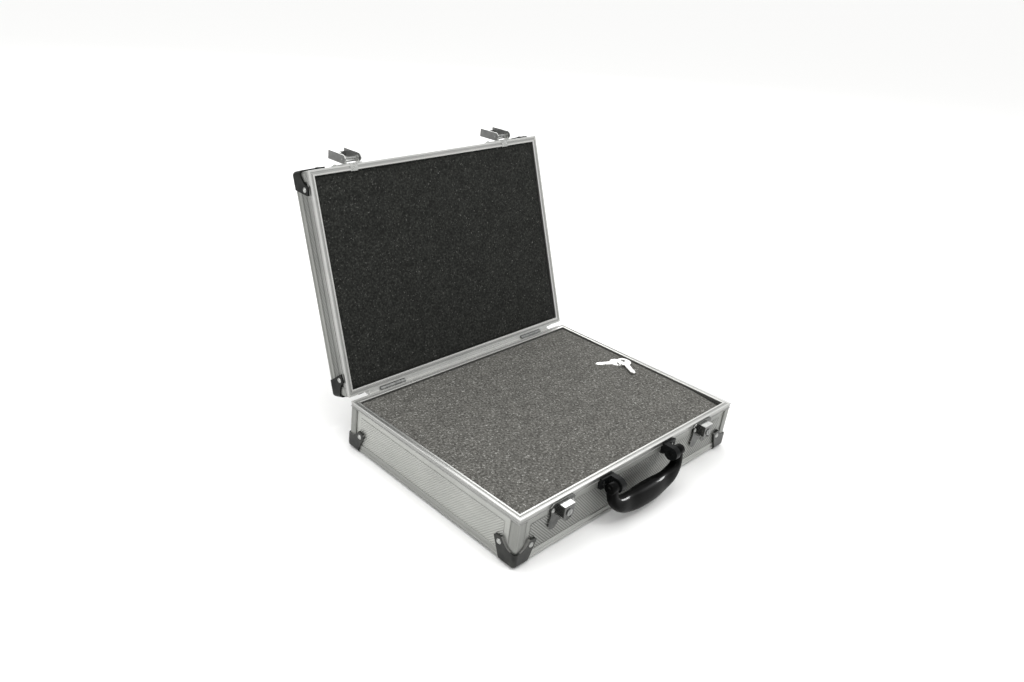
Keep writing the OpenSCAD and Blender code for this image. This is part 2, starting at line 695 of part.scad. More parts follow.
module base_bottom_panel() color(skin) on_base() sheet_panel(base_h);
module base_front_panel() color(skin) on_base() difference() {
    wall_panel("front", base_h);
    lock_places() lock_rivet_places() rivet_hole();
    at_wall("front") for (side = [0, 1]) mirror([side, 0, 0]) handle_rivet_place() rivet_hole();
}
module base_back_panel() color(skin) on_base() wall_panel("back", base_h);
module base_left_panel() color(skin) on_base() wall_panel("left", base_h);
module base_right_panel() color(skin) on_base() wall_panel("right", base_h);
module base_front_rim() color(metal) on_base() at_wall("front") rim("front");
module base_back_rim() color(metal) on_base() back_rim();
module base_left_rim() color(metal) on_base() at_wall("left") rim("left");
module base_right_rim() color(metal) on_base() at_wall("right") rim("right");
module base_front_edge() color(metal) on_base() edge("front", base_h);
module base_back_edge() color(metal) on_base() edge("back", base_h);
module base_left_edge() color(metal) on_base() edge("left", base_h);
module base_right_edge() color(metal) on_base() edge("right", base_h);
module base_corner_posts() color(metal) on_base() corner_posts(base_h);
module base_corner_caps() color(black) on_base() corner_caps(base_h);
module base_cap_rivets() color(chrome) on_base() cap_rivet_places(base_h) rivet(cap_t);
module base_foam() color(foam_grey) on_base() foam(base_h, base_foam_recess, foam_short);
module base_hinge_leaves() color(metal) on_base() hinge_places() hinge_leaf(true);
module hinge_pins() color(metal) translate([0, axis_y, axis_z]) for (side = [-1, 1])
    translate([side * hinge_x, 0, 0]) rotate([0, 90, 0])
        cylinder(h = hinge_len, r = hinge_pin_r, center = true);
module base_hinge_rivets() color(chrome) on_base() hinge_rivet_places() rivet(leaf_t);
module lock_plates_node() color(chrome) on_base() lock_plates();
module lock_case_node(side) color(chrome) on_base() at_wall("front") translate([side * lock_x, 0, 0])
    lock_case();
module lock_rivets() color(chrome) on_base() lock_places() lock_rivet_places()
    rivet(plate_t, small_head_r);
module lock_cylinder_node(side) color(metal) on_base() at_wall("front") translate([side * lock_x, 0, 0])
    lock_cylinder();
module bracket_node(side) color(black) on_base() at_wall("front") mirror([side, 0, 0]) handle_bracket();
module handle_rivets() color(chrome) on_base() at_wall("front") for (side = [0, 1]) mirror([side, 0, 0])
    handle_rivet_place() rivet(rivet_seat);
module handle_pins_node() color(metal) on_base() at_wall("front") handle_pins();
module handle_node() color(black) on_base() at_wall("front") handle();
module left_key() color(chrome) lying_key(key_end + key_step, key_back - key_step, left_key_turn);
module right_key() color(chrome) lying_key(key_end, key_back, right_key_turn, true);

module lid_top_panel() color(skin) on_lid() sheet_panel(lid_h);
module lid_front_panel() color(skin) on_lid() difference() {
    wall_panel("front", lid_h);
    lock_places() hasp_rivet_places() rivet_hole();
}
module lid_back_panel() color(skin) on_lid() wall_panel("back", lid_h);
module lid_left_panel() color(skin) on_lid() wall_panel("left", lid_h);
module lid_right_panel() color(skin) on_lid() wall_panel("right", lid_h);
module lid_front_rim() color(metal) on_lid() difference() {
    at_wall("front") rim("front");
    strap_notches();
}
module lid_back_rim() color(metal) on_lid() back_rim();
module lid_left_rim() color(metal) on_lid() at_wall("left") rim("left");
module lid_right_rim() color(metal) on_lid() at_wall("right") rim("right");
module lid_front_edge() color(metal) on_lid() edge("front", lid_h);
module lid_back_edge() color(metal) on_lid() edge("back", lid_h);
module lid_left_edge() color(metal) on_lid() edge("left", lid_h);
module lid_right_edge() color(metal) on_lid() edge("right", lid_h);
module lid_corner_posts() color(metal) on_lid() corner_posts(lid_h);
module lid_corner_caps() color(black) on_lid() corner_caps(lid_h);
module lid_cap_rivets() color(chrome) on_lid() cap_rivet_places(lid_h) rivet(cap_t);
module lid_foam() color(foam_grey) on_lid() foam(lid_h, lid_foam_recess, 0);
module lid_hinge_leaves() color(metal) on_lid() hinge_places() hinge_leaf(false);
module lid_hinge_rivets() color(chrome) on_lid() hinge_rivet_places() rivet(leaf_t);
module hasp_plates_node() color(chrome) on_lid() hasp_plates();
module hasp_rivets() color(chrome) on_lid() lock_places() hasp_rivet_places()
    rivet(plate_t, small_head_r);
module hasp_pins_node() color(metal) on_lid() hasp_pins();

base_bottom_panel();
base_front_panel();
base_back_panel();
base_left_panel();
base_right_panel();
base_front_rim();
base_back_rim();
base_left_rim();
base_right_rim();
base_front_edge();
base_back_edge();
base_left_edge();
base_right_edge();
base_corner_posts();
base_corner_caps();
base_cap_rivets();
base_foam();
base_hinge_leaves();
hinge_pins();
base_hinge_rivets();
lock_plates_node();  // lock_plates
lock_case_node(-1);  // left_lock_case
lock_case_node(1);  // right_lock_case
lock_rivets();
lock_cylinder_node(-1);  // left_lock_cylinder
lock_cylinder_node(1);  // right_lock_cylinder
bracket_node(0);  // left_handle_bracket
bracket_node(1);  // right_handle_bracket
handle_rivets();
handle_pins_node();  // handle_pins
handle_node();  // handle
left_key();
right_key();
lid_top_panel();
lid_front_panel();
lid_back_panel();
lid_left_panel();
lid_right_panel();
lid_front_rim();
lid_back_rim();
lid_left_rim();
lid_right_rim();
lid_front_edge();
lid_back_edge();
lid_left_edge();
lid_right_edge();
lid_corner_posts();
lid_corner_caps();
lid_cap_rivets();
lid_foam();
lid_hinge_leaves();
lid_hinge_rivets();
hasp_plates_node();  // hasp_plates
hasp_rivets();
hasp_pins_node();  // hasp_pins
hasp(-1);  // left_hasp
hasp(1);  // right_hasp
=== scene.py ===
# %% [markdown]
# # A hard case for a multimeter
#
# The case stands open: an aluminium framed base and lid, lined with foam, with black corner caps,
# two hasp locks, two small keys and a black handle. Its solids come ready made, each on the body
# it moves with. This lesson dresses them. Where the real case is embossed, soft or moulded and the
# solid is plain, a new surface is worked out: the ribbed skins, the foam and the handle's grip.
# Everything else keeps its solid and gets a finish.
#
# Lengths are in millimetres, as on a drawing, and become metres where a mesh is made. Only the
# floor and the lights are placed in metres.

import math

import bpy
import numpy as np
from mathutils import Matrix, Vector


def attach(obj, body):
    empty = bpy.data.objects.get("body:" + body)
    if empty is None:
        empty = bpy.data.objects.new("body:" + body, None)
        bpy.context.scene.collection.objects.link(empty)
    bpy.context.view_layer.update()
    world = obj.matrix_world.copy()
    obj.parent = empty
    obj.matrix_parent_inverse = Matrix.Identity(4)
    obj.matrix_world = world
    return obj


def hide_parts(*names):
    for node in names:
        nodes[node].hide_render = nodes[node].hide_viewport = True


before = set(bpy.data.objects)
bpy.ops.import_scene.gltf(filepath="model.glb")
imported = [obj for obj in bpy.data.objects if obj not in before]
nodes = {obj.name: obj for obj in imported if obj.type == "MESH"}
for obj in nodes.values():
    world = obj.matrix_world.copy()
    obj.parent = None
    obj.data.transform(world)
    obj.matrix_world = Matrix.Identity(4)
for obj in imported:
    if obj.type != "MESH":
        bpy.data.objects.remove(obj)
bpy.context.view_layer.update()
scene = bpy.context.scene
print("solids loaded:", len(nodes))

# %% [markdown]
# ## Sizes shared with the solids
#
# A skin or a foam block has to meet the solids around it, so the sizes they share are named here.
# One could measure them on the meshes instead, but a named size is easier to follow and to change.
# The lid is worked out shut, which is easy to picture, and then swung open about its hinge line.

# %% Sizes, the open lid and the walls
MM = 0.001
CASE_W, CASE_D = 360.0, 250.0
BASE_H, LID_H = 55.0, 30.0
# Height of the base's rim above the floor
RIM_Z = 56.8
# Room between the rims when the case is shut
LID_GAP = 0.2
# The hinge line runs this far behind the case, and half way up that room
HINGE_OUT = 2.5
AXIS_Y, AXIS_Z = CASE_D / 2 + HINGE_OUT, RIM_Z + LID_GAP / 2
LID_OPEN = math.radians(110)
# Thickness of the flanges that hold the wall panels, which lie that much further in
FLANGE = 1.2
# Thickness of the bottom and top panels
PANEL = 4.0


def opened(points):
    """Points of the shut lid, swung open: (y, z) - axis turned by -open, then + axis."""
    p = np.array(points, dtype=float)
    c, s = math.cos(-LID_OPEN), math.sin(-LID_OPEN)
    dy, dz = p[:, 1] - AXIS_Y, p[:, 2] - AXIS_Z
    return np.stack([p[:, 0], c * dy - s * dz + AXIS_Y, s * dy + c * dz + AXIS_Z], axis=1)


# The middle of each wall in plan, and its direction to the right for someone who faces it
WALLS = {
    "front": ((0, -CASE_D / 2), (1, 0)),
    "right": ((CASE_W / 2, 0), (0, 1)),
    "back": ((0, CASE_D / 2), (-1, 0)),
    "left": ((-CASE_W / 2, 0), (0, -1)),
}


def on_wall(wall, shell, u, depth, v):
    """Points on a wall, from u along it, depth inwards and v away from the rim:
    xy = middle + u * along + depth * inwards; z = rim - v in the base, rim + gap + v in the shut
    lid, which is then swung open."""
    (ox, oy), (ax, ay) = WALLS[wall]
    x = ox + u * ax - depth * ay
    y = oy + u * ay + depth * ax
    z = RIM_Z - v if shell == "base" else RIM_Z + LID_GAP + v
    points = np.stack(np.broadcast_arrays(x, y, z), axis=-1).reshape(-1, 3)
    return points if shell == "base" else opened(points)


print(f"hinge line at y = {AXIS_Y:.1f} mm, z = {AXIS_Z:.1f} mm")
print(f"lid open by {math.degrees(LID_OPEN):.0f} degrees")

# %% [markdown]
# ## From arrays to meshes
#
# Pressed sheet, foam and a moulded grip all follow a formula, so their points are computed as whole
# numpy arrays and handed to Blender in one go. Sculpting would do as well, but no size could be
# changed afterwards. Each new object is told at once which body it moves with.


# %% Meshes from points
def mesh_object(name, points, faces, body):
    """A smooth mesh of points in millimetres that rides on one body."""
    mesh = bpy.data.meshes.new(name)
    mesh.from_pydata((np.asarray(points) * MM).tolist(), [], [tuple(map(int, f)) for f in faces])
    mesh.validate()
    mesh.update()
    mesh.polygons.foreach_set("use_smooth", [True] * len(mesh.polygons))
    obj = bpy.data.objects.new(name, mesh)
    scene.collection.objects.link(obj)
    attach(obj, body)
    print(f"{name}: {len(mesh.polygons)} faces on {body}")
    return obj


def grid_faces(rows, columns, closed=False):
    """Quads between neighbours of a grid; a closed one joins its last column to its first."""
    last = columns if closed else columns - 1
    r, c = np.meshgrid(np.arange(rows - 1), np.arange(last), indexing="ij")
    d = (c + 1) % columns
    here, below = r * columns, (r + 1) * columns
    return np.stack([here + c, here + d, below + d, below + c], -1).reshape(-1, 4).tolist()


# %% [markdown]
# ## Soft edges
#
# No real edge is perfectly sharp: a lock case, a pressed hasp and a moulded cap each catch a
# thin line of light along theirs. A Bevel modifier rounds the edges of a solid by a few tenths of a
# millimetre. Edges could be cut by hand in each mesh as well, but a modifier leaves the solid below
# untouched, and its width is easy to change.

# %% Round the edges
EDGE_WIDTHS = {
    "base_corner_caps": 0.5,
    "lid_corner_caps": 0.5,
    "left_lock_case": 0.5,
    "right_lock_case": 0.5,
    "left_hasp": 0.3,
    "right_hasp": 0.3,
    "lock_plates": 0.35,
    "hasp_plates": 0.3,
    "left_handle_bracket": 0.6,
    "right_handle_bracket": 0.6,
    "left_key": 0.2,
    "right_key": 0.2,
    "left_lock_cylinder": 0.15,
    "right_lock_cylinder": 0.15,
}
SHARPEST = math.radians(35)

for piece, width in EDGE_WIDTHS.items():
    bevel = nodes[piece].modifiers.new("soft edges", "BEVEL")
    bevel.width = width * MM
    bevel.segments = 2
    bevel.limit_method = "ANGLE"
    bevel.angle_limit = SHARPEST
    bevel.miter_outer = "MITER_ARC"
    bevel.use_clamp_overlap = True
print("solids with soft edges:", len(EDGE_WIDTHS))

# %% [markdown]
# ## Materials as small graphs
#
# A material is a graph of shader nodes. Every pattern here starts from Object coordinates, which
# are metres on the piece itself, so that a streak or a pore has a real size and stays in place
# when the piece moves. A picture laid on a piece would repeat and blur up close, where a pattern
# that is worked out does neither. Colours are written as sRGB hex values, as a colour picker shows
# them, and turned to the linear values that the renderer works with. One function adds any kind of
# node.


# %% Nodes and materials
def linear(hex_colour):
    """sRGB hex to linear RGB: c / 12.92 below 0.04045, else ((c + 0.055) / 1.055) ** 2.4."""
    c = [int(hex_colour[i : i + 2], 16) / 255 for i in (0, 2, 4)]
    return [x / 12.92 if x <= 0.04045 else ((x + 0.055) / 1.055) ** 2.4 for x in c] + [1.0]


def set_inputs(tree, node, inputs):
    """Links a node's inputs to other nodes' outputs, or sets them to plain values."""
    for key, value in inputs.items():
        if isinstance(value, bpy.types.NodeSocket):
            tree.links.new(value, node.inputs[key])
        else:
            node.inputs[key].default_value = value


def add_node(tree, kind, inputs, out=0, stops=(), **settings):
    """Adds a shader node with its settings, inputs and, on a colour ramp, its stops, which are
    pairs of a position and a hex colour or a grey. Returns one output, or all where out is None."""
    node = tree.nodes.new("ShaderNode" + kind)
    for key, value in settings.items():
        setattr(node, key, value)
    set_inputs(tree, node, inputs)
    if stops:
        elements = node.color_ramp.elements
        while len(elements) < len(stops):
            elements.new(0.5)
        for element, (position, colour) in zip(elements, stops):
            element.position = position
            element.color = linear(colour) if isinstance(colour, str) else [colour] * 3 + [1.0]
    return node.outputs if out is None else node.outputs[out]


# A Mix node that multiplies one colour by another, and one that blends them by a factor
TINT = {"out": 2, "data_type": "RGBA", "blend_type": "MULTIPLY"}
BLEND = {"out": 2, "data_type": "RGBA"}


def new_material(name):
    """A material with one Principled shader; returns the material, its tree and the shader."""
    material = bpy.data.materials.new(name)
    material.use_nodes = True
    print("finish:", name)
    return material, material.node_tree, material.node_tree.nodes["Principled BSDF"]


def on_piece(tree, scale=(1, 1, 1), turn=0.0):
    """Object coordinates turned about X by an angle, and then scaled on each axis."""
    place = add_node(tree, "TexCoord", {}, "Object")
    turned = add_node(tree, "Mapping", {"Vector": place, "Rotation": (turn, 0, 0)})
    return add_node(tree, "Mapping", {"Vector": turned, "Scale": scale})


def dress(material, *names):
    """Gives one material to solids."""
    for name in names:
        mesh = nodes[name].data
        mesh.materials.clear()
        mesh.materials.append(material)


# %% [markdown]
# ## Anodised and rolled aluminium
#
# Rims, edge profiles and corner posts are extruded and clear anodised, and the wall panels are
# rolled sheet. Both are drawn out while they are made, which leaves streaks along their length, and
# the anodised layer dulls the shine to satin. A noise stretched along one axis gives the streaks.
# Real ones are finer than a tenth of a millimetre; they are drawn a millimetre wide, so that they
# show. A slow noise, with clouds about 45 mm across, keeps a large face from looking flat.
#
# A rim gets painted shade by the depth below its ridge: bright along the ridge, darker in its
# groove and down its face. The lid lies swung open, and the pattern on its pieces is turned with it.

# %% Aluminium
# Noise scales, per metre: streaks are 1.1 mm wide and 170 mm long, clouds 45 mm across
STREAK_WIDE, STREAK_LONG, CLOUD = 900, 6, 22.0
STRETCH = {
    "x": (STREAK_LONG, STREAK_WIDE, STREAK_WIDE),
    "y": (STREAK_WIDE, STREAK_LONG, STREAK_WIDE),
    "z": (STREAK_WIDE, STREAK_WIDE, STREAK_LONG),
}
# Painted shade on a rim by its depth below the ridge, in centimetres
RIM_DEPTH_SHADE = [(0.02, 0.94), (0.06, 0.7), (0.1, 0.62), (0.14, 0.5)]


def rim_depth(tree, lid):
    """Millimetres from the rim's plane: RIM_Z - z in the base; in the lid, swung open, the height
    it has when shut, sin(open) * y + cos(open) * z + a constant, less the rim's own."""
    split = add_node(tree, "SeparateXYZ", {0: add_node(tree, "TexCoord", {}, "Object")}, None)
    if not lid:
        return add_node(tree, "Math", {0: split["Z"], 1: -1 / MM, 2: RIM_Z}, operation="MULTIPLY_ADD")
    sine, cosine = math.sin(LID_OPEN), math.cos(LID_OPEN)
    start = AXIS_Z - sine * AXIS_Y - cosine * AXIS_Z - RIM_Z - LID_GAP
    part = add_node(tree, "Math", {0: split["Y"], 1: sine / MM, 2: start}, operation="MULTIPLY_ADD")
    return add_node(tree, "Math", {0: split["Z"], 1: cosine / MM, 2: part}, operation="MULTIPLY_ADD")


def drawn_aluminium(name, colours, rough, along, lid=False, ribbed=0.0, rim=False):
    """Tone between two colours: 0.55 * streaks + 0.45 * clouds, with streaks along one axis.
    A ribbed sheet gets painted shade in its grooves, by ribbed; a rim gets painted shade, darker the
    deeper below its ridge."""
    material, tree, shader = new_material(name)
    turn = LID_OPEN if lid else 0.0
    long_way = on_piece(tree, STRETCH[along], turn)
    streak = {"Vector": long_way, "Scale": 1.0, "Detail": 3.0, "Roughness": 0.6}
    streak = add_node(tree, "TexNoise", streak)
    cloud = {"Vector": on_piece(tree, turn=turn), "Scale": CLOUD, "Detail": 3.0, "Roughness": 0.55}
    cloud = add_node(tree, "TexNoise", cloud)
    mix = add_node(tree, "Math", {0: streak, 1: 0.55}, operation="MULTIPLY")
    mix = add_node(tree, "Math", {0: cloud, 1: 0.45, 2: mix}, operation="MULTIPLY_ADD")
    colour = add_node(tree, "ValToRGB", {"Fac": mix}, stops=[(0.3, colours[0]), (0.7, colours[1])])
    # Painted shade in the grooves between the ribs
    if ribbed:
        relief = add_node(tree, "Attribute", {}, "Fac", attribute_name="relief")
        tone = add_node(tree, "ValToRGB", {"Fac": relief}, stops=[(0.1, 1 - ribbed), (0.9, 1.0)])
        colour = add_node(tree, "Mix", {"Factor": 1.0, 6: colour, 7: tone}, **TINT)
    # Painted shade on the rim, darker the deeper a face lies below its ridge
    if rim:
        depth = add_node(tree, "Math", {0: rim_depth(tree, lid), 1: 0.1}, operation="MULTIPLY")
        tone = add_node(tree, "ValToRGB", {"Fac": depth}, stops=RIM_DEPTH_SHADE)
        colour = add_node(tree, "Mix", {"Factor": 1.0, 6: colour, 7: tone}, **TINT)
    gloss = add_node(tree, "ValToRGB", {"Fac": streak}, stops=[(0.3, rough), (0.75, rough + 0.14)])
    dents = add_node(tree, "Bump", {"Height": streak, "Distance": 0.02 * MM, "Strength": 0.5})
    look = {"Base Color": colour, "Metallic": 0.85, "Roughness": gloss, "Anisotropic": 0.3}
    set_inputs(tree, shader, look | {"Normal": dents})
    return material


# %% [markdown]
# ## Tones of the frame
#
# It is one metal all over, but its parts don't look alike: the rims face up and catch the light,
# the edge profiles are duller, and posts and skins duller still. A studio built round the case could
# give that. Here it is painted light and shade: each part has a tone of its own, a pair of colours
# for its darkest and its palest streaks, which is simpler and holds wherever the camera stands. The
# rims are painted brightest, the side skins lighter, and the side edges and most of the lid's skins
# darker, as lit and shaded copies of one metal. The skins are rougher than the extrusions, because
# rollers leave a coarser face than a die.

# %% Finish of the frame
# Painted light and shade in lit and shaded copies of one aluminium: rims brightest, side skins lighter,
# lid skins darker
RIM = ("C6C7C4", "E0E0DD")
PROFILE = ("A0A19E", "BCBDB9")
POST = ("7C7D7A", "949591")
SKIN = ("888986", "9FA09C")
LIT_SIDE_SKIN = ("A1A29E", "B8B9B5")
SHADED_LID_SKIN = ("757673", "8C8D8A")
rim_x = drawn_aluminium("anodised aluminium rim", RIM, 0.24, "x", rim=True)
rim_y = drawn_aluminium("anodised aluminium side rim", RIM, 0.24, "y", rim=True)
rim_lid_x = drawn_aluminium("anodised aluminium lid rim", RIM, 0.24, "x", lid=True, rim=True)
rim_lid_y = drawn_aluminium("anodised aluminium lid side rim", RIM, 0.24, "y", lid=True, rim=True)
edge_x = drawn_aluminium("anodised aluminium edge", PROFILE, 0.3, "x")
edge_y = drawn_aluminium("anodised aluminium side edge", SKIN, 0.3, "y")
edge_lid = drawn_aluminium("anodised aluminium lid edge", POST, 0.3, "y", lid=True)
post_metal = drawn_aluminium("anodised aluminium corner post", POST, 0.33, "z")
post_lid = drawn_aluminium("anodised aluminium lid post", POST, 0.33, "z", lid=True)
skin_x = drawn_aluminium("satin aluminium skin", SKIN, 0.42, "x")
skin_y = drawn_aluminium("satin aluminium side skin", LIT_SIDE_SKIN, 0.42, "y")
skin_lid = drawn_aluminium("satin aluminium lid skin", SHADED_LID_SKIN, 0.42, "y", lid=True)
# Painted shade in the ribs' grooves: most on front and back, less on the lid, least on the lit sides
ribs_x = drawn_aluminium("ribbed aluminium skin", SKIN, 0.4, "x", ribbed=0.65)
ribs_y = drawn_aluminium("ribbed aluminium side skin", LIT_SIDE_SKIN, 0.4, "y", ribbed=0.25)
ribs_lid = drawn_aluminium("ribbed aluminium lid skin", SHADED_LID_SKIN, 0.4, "y", lid=True, ribbed=0.5)

dress(rim_x, "base_front_rim", "base_back_rim")
dress(rim_y, "base_left_rim", "base_right_rim")
dress(rim_lid_x, "lid_front_rim", "lid_back_rim")
dress(rim_lid_y, "lid_left_rim", "lid_right_rim")
dress(edge_x, "base_front_edge", "base_back_edge", "lid_front_edge", "lid_back_edge")
dress(edge_y, "base_left_edge", "base_right_edge")
dress(edge_lid, "lid_left_edge", "lid_right_edge")
dress(post_metal, "base_corner_posts")
dress(post_lid, "lid_corner_posts")
dress(skin_x, "base_front_panel", "base_back_panel", "base_bottom_panel")
dress(skin_x, "lid_front_panel", "lid_back_panel", "lid_top_panel")
dress(skin_y, "base_left_panel", "base_right_panel")
dress(skin_lid, "lid_left_panel", "lid_right_panel")

# %% [markdown]
# ## Plated steel
#
# Locks, hasps, hinges, rivets and keys are pressed or turned from steel and plated with nickel or
# zinc. Plating is bright, with soft clouds about 6 mm across in its tone and fine marks from use in
# its gloss. So small a mirror shows mostly the studio around it: its top is bright, its sides are
# dark, and each rounded edge draws a thin bright line. On the locks, hasps and lock plates that is
# painted into the colour: the way that a face points sets painted shade, and rounded edges get a
# painted highlight, so the studio can stay plain.

# %% Plating, locks and fittings
# Noise scales, per metre: clouds 6 mm across; rubbed marks about 1 mm, drawn coarse to show, and
# five times finer upwards
PLATING_CLOUD, RUBBED_MARK = 160.0, 900.0
# Colour of the painted highlight on rounded edges
EDGE_HIGHLIGHT_COLOUR = "DADAD8"


# Mask of the painted highlight along rounded edges
def edge_mask(tree, most):
    """0 on faces square to an axis, up to most on rounded edges: falls to 0 where the largest part
    of the normal, max(|x|, |y|, |z|), reaches 0.985."""
    facing = add_node(tree, "TexCoord", {}, "Normal")
    size = add_node(tree, "VectorMath", {0: facing}, operation="ABSOLUTE")
    part = add_node(tree, "SeparateXYZ", {0: size}, None)
    widest = add_node(tree, "Math", {0: part[0], 1: part[1]}, operation="MAXIMUM")
    widest = add_node(tree, "Math", {0: widest, 1: part[2]}, operation="MAXIMUM")
    return add_node(tree, "ValToRGB", {"Fac": widest}, stops=[(0.94, most), (0.985, 0.0)])


def plated(name, colours, rough, metallic=0.95, left_shade=1.0, side_shade=1.0):
    """Tone between two colours by the clouds. With side_shade below 1, all that doesn't face up gets
    painted shade by it, what faces left more by left_shade, and rounded edges a painted highlight."""
    material, tree, shader = new_material(name)
    place = on_piece(tree)
    cloud = {"Vector": place, "Scale": PLATING_CLOUD, "Detail": 3.0, "Roughness": 0.6}
    cloud = add_node(tree, "TexNoise", cloud)
    upright = on_piece(tree, (1, 1, 5))
    rub = {"Vector": upright, "Scale": RUBBED_MARK, "Detail": 2.0, "Roughness": 0.6}
    rub = add_node(tree, "TexNoise", rub)
    colour = add_node(tree, "ValToRGB", {"Fac": cloud}, stops=[(0.32, colours[0]), (0.68, colours[1])])
    # Painted shade on faces that don't point up, more on those that point left, and a painted highlight
    # on rounded edges
    if side_shade < 1:
        split = add_node(tree, "SeparateXYZ", {0: add_node(tree, "TexCoord", {}, "Normal")}, None)
        rightward = add_node(tree, "Math", {0: split["X"], 1: 0.5, 2: 0.5}, operation="MULTIPLY_ADD")
        tone = add_node(tree, "ValToRGB", {"Fac": rightward}, stops=[(0.08, left_shade), (0.3, 1.0)])
        colour = add_node(tree, "Mix", {"Factor": 1.0, 6: colour, 7: tone}, **TINT)
        tone = add_node(tree, "ValToRGB", {"Fac": split["Z"]}, stops=[(0.3, side_shade), (0.8, 1.0)])
        colour = add_node(tree, "Mix", {"Factor": 1.0, 6: colour, 7: tone}, **TINT)
        edges = edge_mask(tree, 0.8)
        colour = add_node(tree, "Mix", {"Factor": edges, 6: colour, 7: linear(EDGE_HIGHLIGHT_COLOUR)}, **BLEND)
    gloss = add_node(tree, "ValToRGB", {"Fac": rub}, stops=[(0.3, rough), (0.7, rough + 0.12)])
    dents = add_node(tree, "Bump", {"Height": rub, "Distance": 0.01 * MM, "Strength": 0.4})
    look = {"Base Color": colour, "Metallic": metallic, "Roughness": gloss, "Normal": dents}
    set_inputs(tree, shader, look)
    return material


# Polished nickel on the lock cases, almost a mirror, with painted shade on all that doesn't face up
lock_metal = plated("bright nickel plated steel", ("BEBFBD", "DADBD8"), 0.16, side_shade=0.17)
# The hasps are tumbled instead of polished, so they are paler and less of a mirror; painted shade
# darkens their sides, and their left faces more
hasp_metal = plated(
    "bright hasp steel", ("C6C7C5", "E2E3E0"), 0.3, metallic=0.5, left_shade=0.8, side_shade=0.28
)
# Thin sheet behind the locks, duller than the cases on it, with painted shade on all but its top
plate_metal = plated("nickel plated steel sheet", ("6E6F6D", "90918E"), 0.2, side_shade=0.35)
# The hasps' plates lie over the bright rims and share their tone
hasp_plate_metal = plated("bright steel sheet", ("A9AAA7", "C9CAC7"), 0.2)
# Zinc is greyer and softer in its gloss than nickel
pin_metal = plated("zinc plated steel", ("7B7C7B", "9D9E9C"), 0.28)
# The handle's pins are blackened, to hide in its black eyes
black_metal = plated("blackened pin steel", ("262626", "363635"), 0.3)
# Stamped keys, nearly white where the light falls on their flat faces
key_metal = plated("nickel plated key steel", ("E2E2E0", "FAFAF8"), 0.3)
# Rivet heads are polished by the die that closes them
rivet_metal = plated("bright rivet steel", ("8F908E", "B5B6B3"), 0.22)

dress(rivet_metal, "base_cap_rivets", "lid_cap_rivets", "lock_rivets", "hasp_rivets")
dress(rivet_metal, "base_hinge_rivets", "lid_hinge_rivets", "handle_rivets")
dress(plate_metal, "lock_plates")
dress(hasp_plate_metal, "hasp_plates")
dress(lock_metal, "left_lock_case", "right_lock_case")
dress(hasp_metal, "left_hasp", "right_hasp")
dress(pin_metal, "left_lock_cylinder", "right_lock_cylinder", "hinge_pins", "hasp_pins")
dress(pin_metal, "base_hinge_leaves", "lid_hinge_leaves")
dress(black_metal, "handle_pins")
dress(key_metal, "left_key", "right_key")

# %% [markdown]
# ## Black plastic
#
# The corner caps, the handle and its brackets are injection moulded and black right through. A cap
# comes out of a mould with a fine grain and a slight gloss; its rounded upper edges get a painted
# highlight in grey.
# The handle comes out of a polished mould: its gloss is a thin clear coat over a nearly black
# body, because a coat gives a small sharp highlight and leaves the rest of the form dark.

# %% Plastic, caps and brackets
# Noise scales, per metre: mould grain two thirds of a millimetre, drawn coarse; rubbed patches 17 mm
MOULD_GRAIN, POLISHED_GRAIN, RUBBED_PATCH = 1500.0, 900.0, 60.0
# Grey of the painted highlight on rounded upper edges
HIGHLIGHT_GREY = "C9C9C5"


def moulded(
    name, colours, coat, rough=0.3, grain=MOULD_GRAIN, height=0.02, coat_ior=1.3, sheen=0.05, edge_highlight=0.0
):
    """Tone between two blacks by the rubbed patches, gloss and bump by the grain, which is height
    millimetres high. Where edge_highlight is over 0, rounded edges get a painted highlight in grey by
    that much as they face up, from z = 0.1 to 0.4."""
    material, tree, shader = new_material(name)
    place = on_piece(tree)
    fine = {"Vector": place, "Scale": grain, "Detail": 2.0, "Roughness": 0.5}
    fine = add_node(tree, "TexNoise", fine)
    patch = {"Vector": place, "Scale": RUBBED_PATCH, "Detail": 3.0, "Roughness": 0.6}
    patch = add_node(tree, "TexNoise", patch)
    colour = add_node(tree, "ValToRGB", {"Fac": patch}, stops=[(0.35, colours[0]), (0.7, colours[1])])
    # A painted highlight in grey on rounded edges, the more as they face up
    if edge_highlight:
        split = add_node(tree, "SeparateXYZ", {0: add_node(tree, "TexCoord", {}, "Normal")}, None)
        upward = add_node(tree, "ValToRGB", {"Fac": split["Z"]}, stops=[(0.1, 0.0), (0.4, 1.0)])
        rubbed = add_node(tree, "Mix", {"Factor": 1.0, 6: edge_mask(tree, edge_highlight), 7: upward}, **TINT)
        colour = add_node(tree, "Mix", {"Factor": rubbed, 6: colour, 7: linear(HIGHLIGHT_GREY)}, **BLEND)
    gloss = add_node(tree, "ValToRGB", {"Fac": fine}, stops=[(0.3, rough), (0.7, rough + 0.12)])
    grit = add_node(tree, "Bump", {"Height": fine, "Distance": height * MM, "Strength": 1.0})
    look = {"Base Color": colour, "Roughness": gloss, "Specular IOR Level": sheen, "Normal": grit}
    clear_coat = {"Coat Weight": coat, "Coat Roughness": 0.06, "Coat IOR": coat_ior}
    set_inputs(tree, shader, look | clear_coat)
    return material


cap_plastic = moulded(
    "black moulded cap plastic", ("171817", "333431"), coat=0.5, coat_ior=1.4, edge_highlight=0.3
)
# The lid's caps are a darker copy of the same black plastic: painted shade
shaded_lid_cap_plastic = moulded("black lid cap plastic", ("0F100F", "222321"), coat=0.15)
bracket_plastic = moulded("black bracket plastic", ("101111", "1C1D1D"), coat=0.15)
handle_plastic = moulded(
    "glossy black handle plastic",
    ("030303", "080808"),
    coat=0.75,
    rough=0.35,
    grain=POLISHED_GRAIN,
    height=0.002,
    coat_ior=1.1,
    sheen=0.015,
)

